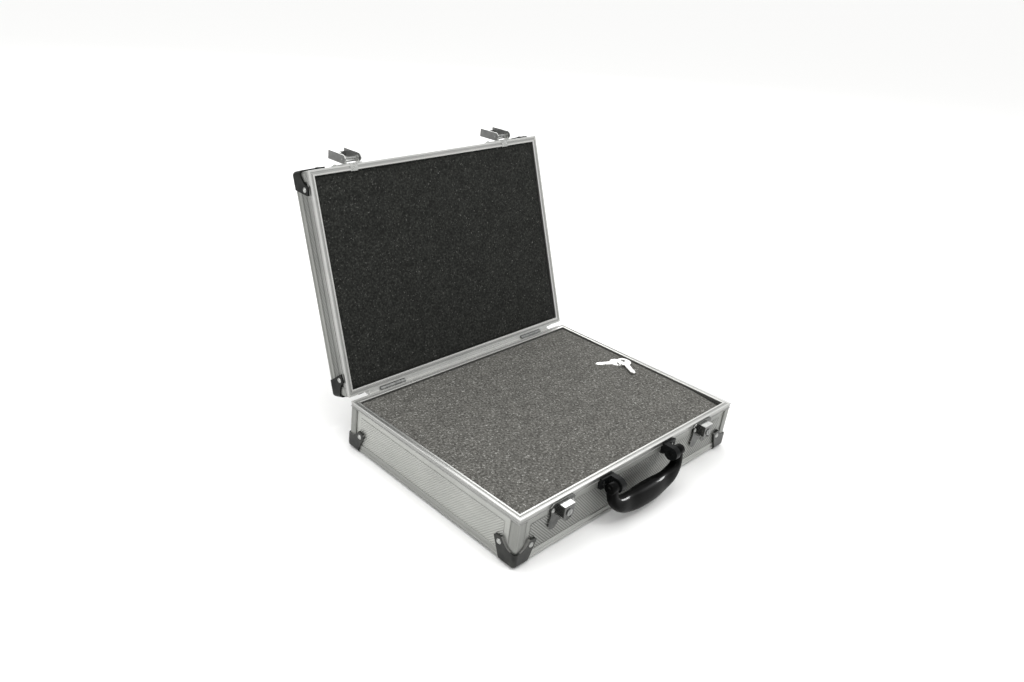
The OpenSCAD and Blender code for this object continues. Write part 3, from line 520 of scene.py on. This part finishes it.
dress(cap_plastic, "base_corner_caps")
dress(shaded_lid_cap_plastic, "lid_corner_caps")
dress(bracket_plastic, "left_handle_bracket", "right_handle_bracket")

# %% [markdown]
# ## Open-cell foam
#
# The lining is charcoal polyurethane foam. Its pores are a millimetre or two across and hold
# shade, while the thin cell walls between them catch the light as pale flecks. Cut out one by one,
# the pores would take millions of faces. A noise of their size gives pores and bump at once, a
# second one the flecks, and a slow one makes the cloudy tone of a cut block. The lid's block stands
# in its own shade, so it gets a darker set of tones.

# %% Foam as a material
# Noise scales, per metre: pores 2.5 mm from middle to middle, flecks 2 mm, clouds 14 mm
PORE, FLECK, FOAM_CLOUD = 400.0, 480.0, 70.0
FLECK_COLOUR = "B9B9B4"


def open_foam(name, dark, mid, light, fleck_at, fleck_tone):
    """Three tones by the pores, times 0.8 to 1.14 by the clouds, with flecks blended in where
    their noise is over fleck_at, up to fleck_tone."""
    material, tree, shader = new_material(name)
    place = on_piece(tree)
    cells = {"Vector": place, "Scale": PORE, "Detail": 4.0, "Roughness": 0.62}
    cells = add_node(tree, "TexNoise", cells)
    fleck = {"Vector": place, "Scale": FLECK, "Detail": 2.0, "Roughness": 0.7}
    fleck = add_node(tree, "TexNoise", fleck)
    cloud = {"Vector": place, "Scale": FOAM_CLOUD, "Detail": 3.0, "Roughness": 0.6}
    cloud = add_node(tree, "TexNoise", cloud)
    colour = add_node(tree, "ValToRGB", {"Fac": cells}, stops=[(0.34, dark), (0.5, mid), (0.66, light)])
    tone = add_node(tree, "ValToRGB", {"Fac": cloud}, stops=[(0.3, 0.8), (0.7, 1.14)])
    colour = add_node(tree, "Mix", {"Factor": 1.0, 6: colour, 7: tone}, **TINT)
    spark = [(fleck_at, 0.0), (fleck_at + 0.09, fleck_tone)]
    spark = add_node(tree, "ValToRGB", {"Fac": fleck}, stops=spark)
    colour = add_node(tree, "Mix", {"Factor": spark, 6: colour, 7: linear(FLECK_COLOUR)}, **BLEND)
    pores = add_node(tree, "Bump", {"Height": cells, "Distance": 0.7 * MM, "Strength": 0.6})
    look = {"Base Color": colour, "Roughness": 0.95, "Specular IOR Level": 0.15, "Normal": pores}
    set_inputs(tree, shader, look)
    return material


base_foam_mat = open_foam(
    "charcoal foam in light", "3D3C39", "585753", "74736F", fleck_at=0.6, fleck_tone=0.6
)
lid_foam_mat = open_foam(
    "charcoal foam in shade", "151614", "232422", "343532", fleck_at=0.65, fleck_tone=0.3
)

# %% [markdown]
# ## Ribbed skins
#
# The real panels are thin sheet, embossed between patterned rollers: fine diagonal ribs stand on
# them, below a smooth band along the rim. A bump in the material could suggest them, but it has no
# edge when seen from the side. Here each skin is real relief. Straight lines run in the ribs'
# direction, eight to a rib, and each is raised by the rib's height at its place. That height is
# also stored on the mesh, where the aluminium reads it to shade the grooves.

# %% Skins on the walls
RIB_PITCH = 2.3
RIB_HEIGHT = 0.35
# The skins lie this far off the panels' own faces
SKIN_GAP = 0.05
# The ribs start below a smooth band, and stop short of the wall's ends and of the case's underside
BAND, SIDE_MARGIN, FOOT_MARGIN = 13.0, 18.0, 8.6


def rib_lines(x0, x1, y0, y1, slope, step):
    """Straight lines y = slope * x + c, a step apart, cut to a rectangle: for each one its two
    ends, and its distance from the first."""
    run = step * math.sqrt(1 + slope * slope)
    corners = [y - slope * x for x in (x0, x1) for y in (y0, y1)]
    c = np.arange(min(corners) + 1e-6, max(corners), run)
    ends = []
    for edge in (y0, y1):
        x = np.clip((edge - c) / slope, x0, x1)
        ends.append(np.stack([x, np.clip(slope * x + c, y0, y1)], axis=-1))
    return np.stack(ends), (c - c[0]) / math.sqrt(1 + slope * slope)


def relief_of(s):
    """Height of the ribs from 0 to 1: |sin(pi s / pitch)| ** 0.7."""
    return np.abs(np.sin(math.pi * s / RIB_PITCH)) ** 0.7


def skin_mesh(name, shell, points, relief, material):
    """A sheet between the lines' first ends and their second ends, with its relief stored."""
    obj = mesh_object(name, points, grid_faces(2, len(relief)), shell)
    data = obj.data.attributes.new("relief", "FLOAT", "POINT")
    data.data.foreach_set("value", np.tile(relief, 2).astype(np.float32))
    obj.data.materials.append(material)


for shell, low in (("base", BASE_H - FOOT_MARGIN), ("lid", LID_H - FOOT_MARGIN)):
    for wall in WALLS:
        long_wall = wall in ("front", "back")
        slope = 1.0 if long_wall else -1.0
        half = (CASE_W if long_wall else CASE_D) / 2 - SIDE_MARGIN
        side_finish = ribs_y if shell == "base" else ribs_lid
        ends, s = rib_lines(-half, half, BAND, low, slope, RIB_PITCH / 8)
        relief = relief_of(s)
        depth = np.broadcast_to(FLANGE - SKIN_GAP - RIB_HEIGHT * relief, ends.shape[:2])
        points = on_wall(wall, shell, ends[..., 0], depth, ends[..., 1])
        skin_mesh(f"{shell}_{wall}_ribs", shell, points, relief, ribs_x if long_wall else side_finish)

# %% [markdown]
# ## The same embossing, below and on top
#
# The bottom and the top are made of the same sheet, so the same lines are laid out flat, over the
# panel inside its frame. Six lines to a rib are enough for such a large face.

# %% Skins below and on top
# Half sizes of the bottom's and the top's skins, inside the edge profiles
PANEL_HALF_W, PANEL_HALF_D = 171.0, 116.0


def big_skin(name, shell, z, outwards, material):
    """A flat skin at a height z, with ribs that rise outwards: z + outwards * (gap + relief)."""
    sides = (-PANEL_HALF_W, PANEL_HALF_W, -PANEL_HALF_D, PANEL_HALF_D)
    ends, s = rib_lines(*sides, 1.0, RIB_PITCH / 6)
    relief = relief_of(s)
    height = np.broadcast_to(z + outwards * (SKIN_GAP + RIB_HEIGHT * relief), ends.shape[:2])
    points = np.concatenate([ends, height[..., None]], axis=-1).reshape(-1, 3)
    skin_mesh(name, shell, points if shell == "base" else opened(points), relief, material)


big_skin("base_bottom_ribs", "base", RIM_Z - BASE_H + FLANGE, -1, ribs_x)
big_skin("lid_top_ribs", "lid", RIM_Z + LID_GAP + LID_H - FLANGE, 1, ribs_lid)

# %% [markdown]
# ## The foam's face
#
# Each half is lined with one block, cut from a sheet and pushed in below the rim. It is never quite
# flat: slow waves run over it, the lid's block swells a little in the middle, and the edges sink a
# little along the frame. At the front right corner the base's block has drawn in and left a narrow
# gap. A plain box would show none of that, so the face is a fine grid, with its closest lines along
# the edges, where it bends the most.

# %% Face of the foam
# The block's sides lie this far inside the case's outer faces
FOAM_INSET = 7.9
# Its edge sinks by a drop that fades within this distance
EDGE_DROP, EDGE_FADE = 0.9, 1.2
WAVE_HEIGHT, WAVES = 0.35, 9
# Length of the side that has drawn in, from the front
DRAWN_IN_LENGTH = 42
# The grid's lines, from 0 to 1 across the block: close to both edges, and even between them
NEAR_EDGE = np.array([0, 0.4, 0.9, 1.6, 2.6, 4.2, 7.0]) / CASE_W
FOAM_LINES = np.concatenate([NEAR_EDGE, np.linspace(0.03, 0.97, 90), 1 - NEAR_EDGE[::-1]])


def foam_face(recess, crown, short, seed):
    """Points (x, y, depth below the rim), with u and v from 0 to 1 and a and b from -1 to 1 across
    the block: depth = recess - crown * (1 - a^4)(1 - b^4) - slow waves + drop * exp(-distance to
    the edge / fade). The right side draws in by short * u^8 * (1 - distance from the front /
    length), down to zero."""
    rng = np.random.default_rng(seed)
    fx, fy = CASE_W / 2 - FOAM_INSET, CASE_D / 2 - FOAM_INSET
    u, v = np.meshgrid(FOAM_LINES, FOAM_LINES, indexing="ij")
    drawn_in = short * u**8 * np.clip(1 - 2 * fy * v / DRAWN_IN_LENGTH, 0, 1)
    xy = np.stack([fx * (2 * u - 1) - drawn_in, fy * (2 * v - 1)], axis=-1)
    a, b = 2 * u - 1, 2 * v - 1
    gap = np.minimum((1 - np.abs(a)) * fx, (1 - np.abs(b)) * fy)
    wave = np.zeros_like(u)
    for _ in range(WAVES):
        kx, ky = rng.uniform(1, 7, 2)
        px, py = rng.uniform(0, 2 * math.pi, 2)
        wave += np.sin(kx * math.pi * u + px) * np.sin(ky * math.pi * v + py) / WAVES
    depth = recess - crown * (1 - a**4) * (1 - b**4) - WAVE_HEIGHT * wave
    depth = depth + EDGE_DROP * np.exp(-gap / EDGE_FADE)
    return np.concatenate([xy, depth[..., None]], axis=-1).reshape(-1, 3)


base_face = foam_face(recess=1.8, crown=0.0, short=7.0, seed=3)
lid_face = foam_face(recess=2.2, crown=0.2, short=0.0, seed=5)
print(f"base foam lies {base_face[:, 2].min():.1f} to {base_face[:, 2].max():.1f} mm below the rim")
print(f"lid foam lies {lid_face[:, 2].min():.1f} to {lid_face[:, 2].max():.1f} mm below the rim")

# %% [markdown]
# ## Closed foam blocks
#
# Real foam is a block, not a skin. A Solidify modifier would thicken the face evenly and copy its
# waves to the back. Here the face's outermost points are copied down to the panel instead, quads
# join both rings, and one flat face closes the back. It takes the place of the plain solid.

# %% Foam blocks
# Room between a block's back and the panel behind it
FOAM_PLAY = 0.1


def foam_block(shell, face, material):
    """A closed block below a face: z = rim - depth in the base, rim + gap + depth in the shut lid,
    which is then swung open."""
    back = (BASE_H if shell == "base" else LID_H) - FLANGE - PANEL - FOAM_PLAY
    n = len(FOAM_LINES)
    ring = [(0, j) for j in range(n)] + [(i, n - 1) for i in range(1, n)]
    ring += [(n - 1, j) for j in range(n - 2, -1, -1)] + [(i, 0) for i in range(n - 2, 0, -1)]
    edge = [i * n + j for i, j in ring]
    lower = face[edge].copy()
    lower[:, 2] = back
    m, first = len(edge), len(face)
    faces = grid_faces(n, n)
    faces += [(edge[k], first + k, first + (k + 1) % m, edge[(k + 1) % m]) for k in range(m)]
    faces.append(tuple(first + k for k in range(m))[::-1])
    points = np.concatenate([face, lower])
    if shell == "base":
        points[:, 2] = RIM_Z - points[:, 2]
    else:
        points[:, 2] = RIM_Z + LID_GAP + points[:, 2]
        points = opened(points)
        faces = [f[::-1] for f in faces]
    obj = mesh_object(f"{shell}_foam_block", points, faces, shell)
    obj.data.materials.append(material)
    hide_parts(f"{shell}_foam")


foam_block("base", base_face, base_foam_mat)
foam_block("lid", lid_face, lid_foam_mat)

# %% [markdown]
# ## Outline of the handle
#
# The handle is one moulding: flat arms that hang from two pins and open into a deep grip with two
# hollows for the fingers. Seen from the front of the case, it lies between two rounded Us, an outer
# and an inner one. A curve could be drawn by hand and given a thickness, but the grip is deeper than
# the arms, and each change of size would mean another drawing. Here both Us and the depth follow
# formulas.

# %% Two Us and a depth
# Width over the arms, and width of one arm
HANDLE_W, ARM_W = 124.0, 11.0
# Lowest point of the grip below the pivot line, and the grip's height and depth
GRIP_LOW, GRIP_H, GRIP_D = 40.0, 24.0, 16.0
# Straight part of the outer and the inner U, from the pivot line down
OUTER_LEG, INNER_LEG = 2.0, 7.0
# Depth of the finger hollows, their distance from the middle and their width in degrees of the bow
GRIP_WAIST, HOLLOW_AT, HOLLOW_WIDE = 3.2, 24, 15
# How far the inner U rises between the fingers
MIDDLE_RISE = 1.0


def power(x, p):
    """sign(x) * |x| ** p"""
    return np.sign(x) * np.abs(x) ** p


def bow(half, leg, drop, p, t):
    """A U with straight legs: x = -half * cos(t)^p, z = -leg - (drop - leg) * sin(t)^p."""
    return np.stack([-half * power(np.cos(t), p), -leg - (drop - leg) * power(np.sin(t), p)], -1)


def handle_outline(steps=112):
    """The inner U, the outer U and the depth at each step. With d = |t - 90 deg| and two hollows
    g = exp(-((d - 24 deg) / 15 deg)^2), depth = arm + (grip - arm) sin(t)^2 - waist * g, and the
    inner U rises by exp(-(d / 15 deg)^2) between the hollows. One more step at each end reaches
    the pivot line."""
    t = np.linspace(0, math.pi, steps)
    inner = bow(HANDLE_W / 2 - ARM_W, INNER_LEG, GRIP_LOW - GRIP_H, 0.6, t)
    outer = bow(HANDLE_W / 2, OUTER_LEG, GRIP_LOW, 0.8, t)
    from_middle = np.degrees(np.abs(t - math.pi / 2))
    inner[:, 1] += MIDDLE_RISE * np.exp(-((from_middle / HOLLOW_WIDE) ** 2))
    hollow = np.exp(-(((from_middle - HOLLOW_AT) / HOLLOW_WIDE) ** 2))
    depth = ARM_W + (GRIP_D - ARM_W) * np.sin(t) ** 2 - GRIP_WAIST * hollow
    arm_in, arm_out = np.array([HANDLE_W / 2 - ARM_W, 0]), np.array([HANDLE_W / 2, 0])
    inner = np.concatenate([[-arm_in], inner, [arm_in]])
    outer = np.concatenate([[-arm_out], outer, [arm_out]])
    return inner, outer, np.concatenate([[ARM_W], depth, [ARM_W]])


inner_u, outer_u, handle_depth = handle_outline()
print(f"the handle is {handle_depth.min():.1f} to {handle_depth.max():.1f} mm deep")

# %% [markdown]
# ## The handle's surface
#
# The surface is made of rings that pass from one U to the other. Each ring is a superellipse, a
# circle with flattened sides, as a comfortable grip has; a round one would turn in the hand. The
# solid's handle is plainer, and this one takes its place.

# %% Rings of the handle
# The pivot line: 11 mm in front of the wall and 10.5 mm below the rim
HANDLE_Y, HANDLE_Z = -CASE_D / 2 - 11.0, RIM_Z - 10.5
HANDLE_LEAN = math.radians(10)


def handle_mesh(inner, outer, depth, sides=48):
    """Rings of power 0.8 between the two Us, with p = cos(v)^0.8 and q = sin(v)^0.8: point =
    middle of both Us + half their distance * p, y = depth / 2 * q. All is leaned outwards about
    the pivot line."""
    v = np.linspace(0, 2 * math.pi, sides, endpoint=False)
    p, q = power(np.cos(v), 0.8), power(np.sin(v), 0.8)
    flat = (inner + outer)[:, None] / 2 + (inner - outer)[:, None] / 2 * p[None, :, None]
    y = depth[:, None] / 2 * q[None]
    c, s = math.cos(HANDLE_LEAN), math.sin(HANDLE_LEAN)
    z = flat[..., 1]
    points = np.stack([flat[..., 0], c * y + s * z, c * z - s * y], -1).reshape(-1, 3)
    rings = len(depth)
    last = (rings - 1) * sides
    faces = grid_faces(rings, sides, closed=True)
    faces += [tuple(range(sides))[::-1], tuple(range(last, last + sides))]
    return points + (0, HANDLE_Y, HANDLE_Z), faces


handle_points, handle_faces = handle_mesh(inner_u, outer_u, handle_depth)
handle = mesh_object("handle_grip", handle_points, handle_faces, "handle")
handle.data.materials.append(handle_plastic)
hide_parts("handle")

# %% [markdown]
# ## The handle's eyes
#
# Each arm ends in a round eye that the pin runs through. An eye is a turned form, so it is drawn
# as half a section and carried round the pivot line, as on a lathe. A drilled cylinder would do,
# but its edge would be sharp, where the moulded one is rounded by 0.8 mm. The section starts and
# ends in the bore, which closes the ring.

# %% Eyes of the handle
# The eye's radius, half its width, and the radius of its bore
EYE_R, EYE_HALF, BORE_R = 6.0, 5.5, 2.55


def carried_round(profile, x, sides=64):
    """A profile of (offset along X, radius) turned about the handle's pivot line:
    y = pivot + r * cos(v), z = pivot + r * sin(v)."""
    v = np.linspace(0, 2 * math.pi, sides, endpoint=False)
    px, pr = np.array(profile, dtype=float).T
    y, z = HANDLE_Y + pr[:, None] * np.cos(v), HANDLE_Z + pr[:, None] * np.sin(v)
    points = np.stack(np.broadcast_arrays(x + px[:, None], y, z), -1).reshape(-1, 3)
    return points, grid_faces(len(px), sides, closed=True)


eye_profile = [(-EYE_HALF, BORE_R), (-EYE_HALF, EYE_R - 0.8), (-5.2, EYE_R - 0.25), (-4.7, EYE_R)]
eye_profile += [(-x, r) for x, r in eye_profile[::-1]]
eye_profile += [(-EYE_HALF, BORE_R)]
for side in (-1, 1):
    eye_points, eye_faces = carried_round(eye_profile, side * (HANDLE_W - ARM_W) / 2)
    eye_name = "handle_eye_left" if side < 0 else "handle_eye_right"
    eye = mesh_object(eye_name, eye_points, eye_faces, "handle")
    eye.data.materials.append(handle_plastic)

# %% [markdown]
# ## Studio floor
#
# The case stands on a plain white floor that reaches far beyond the picture, so that it ends in no
# edge. It lies a little below the feet, which keeps two faces from sharing one plane.

# %% Floor
FLOOR_HALF = 40.0
FLOOR_Z = -0.0004
floor = bpy.data.meshes.new("floor")
corners = ((-1, -1), (1, -1), (1, 1), (-1, 1))
floor_corners = [(x * FLOOR_HALF, y * FLOOR_HALF, FLOOR_Z) for x, y in corners]
floor.from_pydata(floor_corners, [], [(0, 1, 2, 3)])
floor_obj = bpy.data.objects.new("floor", floor)
scene.collection.objects.link(floor_obj)
floor_mat, floor_tree, floor_shader = new_material("matt white floor")
set_inputs(floor_tree, floor_shader, {"Base Color": linear("F6F6F5"), "Roughness": 0.9})
floor.materials.append(floor_mat)

# %% [markdown]
# ## Camera
#
# The camera stands where the photograph was taken from. Its axes, place and focal length were
# worked out from the corners and long edges of the case in it. The point that its lens looked at
# isn't the middle of the picture, as in one cut from a larger picture. A shifted lens repeats that,
# where turning the camera would change the perspective.

# %% Set up the camera
PICTURE_W, PICTURE_H = 1024, 682
SENSOR_W = 36.0
# Focal length and the point that the lens looks at, in the picture's pixels
FOCAL, MIDDLE_X, MIDDLE_Y = 827.584, 383.754, 324.490
CAMERA_PLACE = np.array([-669.918, -488.645, 528.490])

camera_data = bpy.data.cameras.new("camera")
camera = bpy.data.objects.new("camera", camera_data)
scene.collection.objects.link(camera)
scene.camera = camera
# The camera's own directions: to its right, up, and away from what it looks at
right = np.array([0.7720217857, -0.6332849816, 0.0541525114])
up = np.array([0.2366972502, 0.3655283688, 0.9002018792])
away = np.array([-0.5898786097, -0.6821577118, 0.4320926777])
matrix = np.eye(4)
matrix[:3, 0], matrix[:3, 1], matrix[:3, 2] = right, up, away
matrix[:3, 3] = CAMERA_PLACE * MM
camera.matrix_world = Matrix(matrix.tolist())
camera_data.sensor_width = SENSOR_W
camera_data.lens = FOCAL / PICTURE_W * SENSOR_W
camera_data.shift_x = (PICTURE_W / 2 - MIDDLE_X) / PICTURE_W
camera_data.shift_y = (MIDDLE_Y - PICTURE_H / 2) / PICTURE_W
camera_data.clip_start = 0.01
camera_data.clip_end = 50
print(f"lens: {camera_data.lens:.1f} mm")

# %% [markdown]
# ## Light
#
# Product pictures are lit by large soft boxes, which give wide gentle reflections on metal and
# faint shadows. One hangs overhead, one stands behind on the right, a weak one on the left, and a
# narrow strip in front draws the bright line on the rims. The handle is glossy and nearly black, so
# it shows only what it mirrors. It gets a window of light for itself, placed where its grip mirrors
# it twice, and light linking keeps that light off everything else.


# %% Lights
def area_light(name, place, target, size, power_w):
    """A rectangular soft light that faces a point; places and sizes in metres."""
    data = bpy.data.lights.new(name, "AREA")
    data.shape = "RECTANGLE"
    data.size, data.size_y = size
    data.energy = power_w
    obj = bpy.data.objects.new(name, data)
    scene.collection.objects.link(obj)
    obj.location = place
    obj.rotation_euler = (Vector(target) - Vector(place)).to_track_quat("-Z", "Y").to_euler()
    print(f"{name}: {power_w} W")
    return obj


area_light("overhead softbox", (-0.3, 0.2, 1.9), (0, 0, 0), (1.4, 1.4), 12)
area_light("back right softbox", (1.5, 1.7, 1.3), (0, 0, 0.05), (1.6, 1.2), 14)
area_light("left softbox", (-1.9, 0.3, 0.8), (0, 0, 0.05), (0.8, 0.8), 6)
area_light("front strip light", (0.1, -0.8, 1.6), (0, -0.1, 0.05), (0.3, 0.1), 4)

gloss_light = area_light("handle highlight", (1.05, -0.66, 0.28), (0, -0.14, 0.03), (0.28, 0.32), 26)
caught_by = bpy.data.collections.new("lit by the handle highlight")
caught_by.objects.link(handle)
gloss_light.light_linking.receiver_collection = caught_by

# %% [markdown]
# ## The white room
#
# The room around the case is a pale sky: half as bright at the horizon as from about 24 degrees
# upwards. Faces that point up mirror its bright part and upright ones its dimmer part, which
# gives the metal its form. A picture of a real studio would light it too, but would bring its own
# windows and colours. The plain view transform shows colours about as they are written.

# %% Room
ROOM_STRENGTH = 1.07
world = bpy.data.worlds.new("white room")
scene.world = world
world.use_nodes = True
sky = world.node_tree
direction = add_node(sky, "TexCoord", {}, "Generated")
height = add_node(sky, "SeparateXYZ", {0: direction}, "Z")
pale = add_node(sky, "ValToRGB", {"Fac": height}, stops=[(0.0, 0.5), (0.4, 1.0)])
set_inputs(sky, sky.nodes["Background"], {"Color": pale, "Strength": ROOM_STRENGTH})
scene.view_settings.view_transform = "Standard"
print("room strength:", ROOM_STRENGTH)
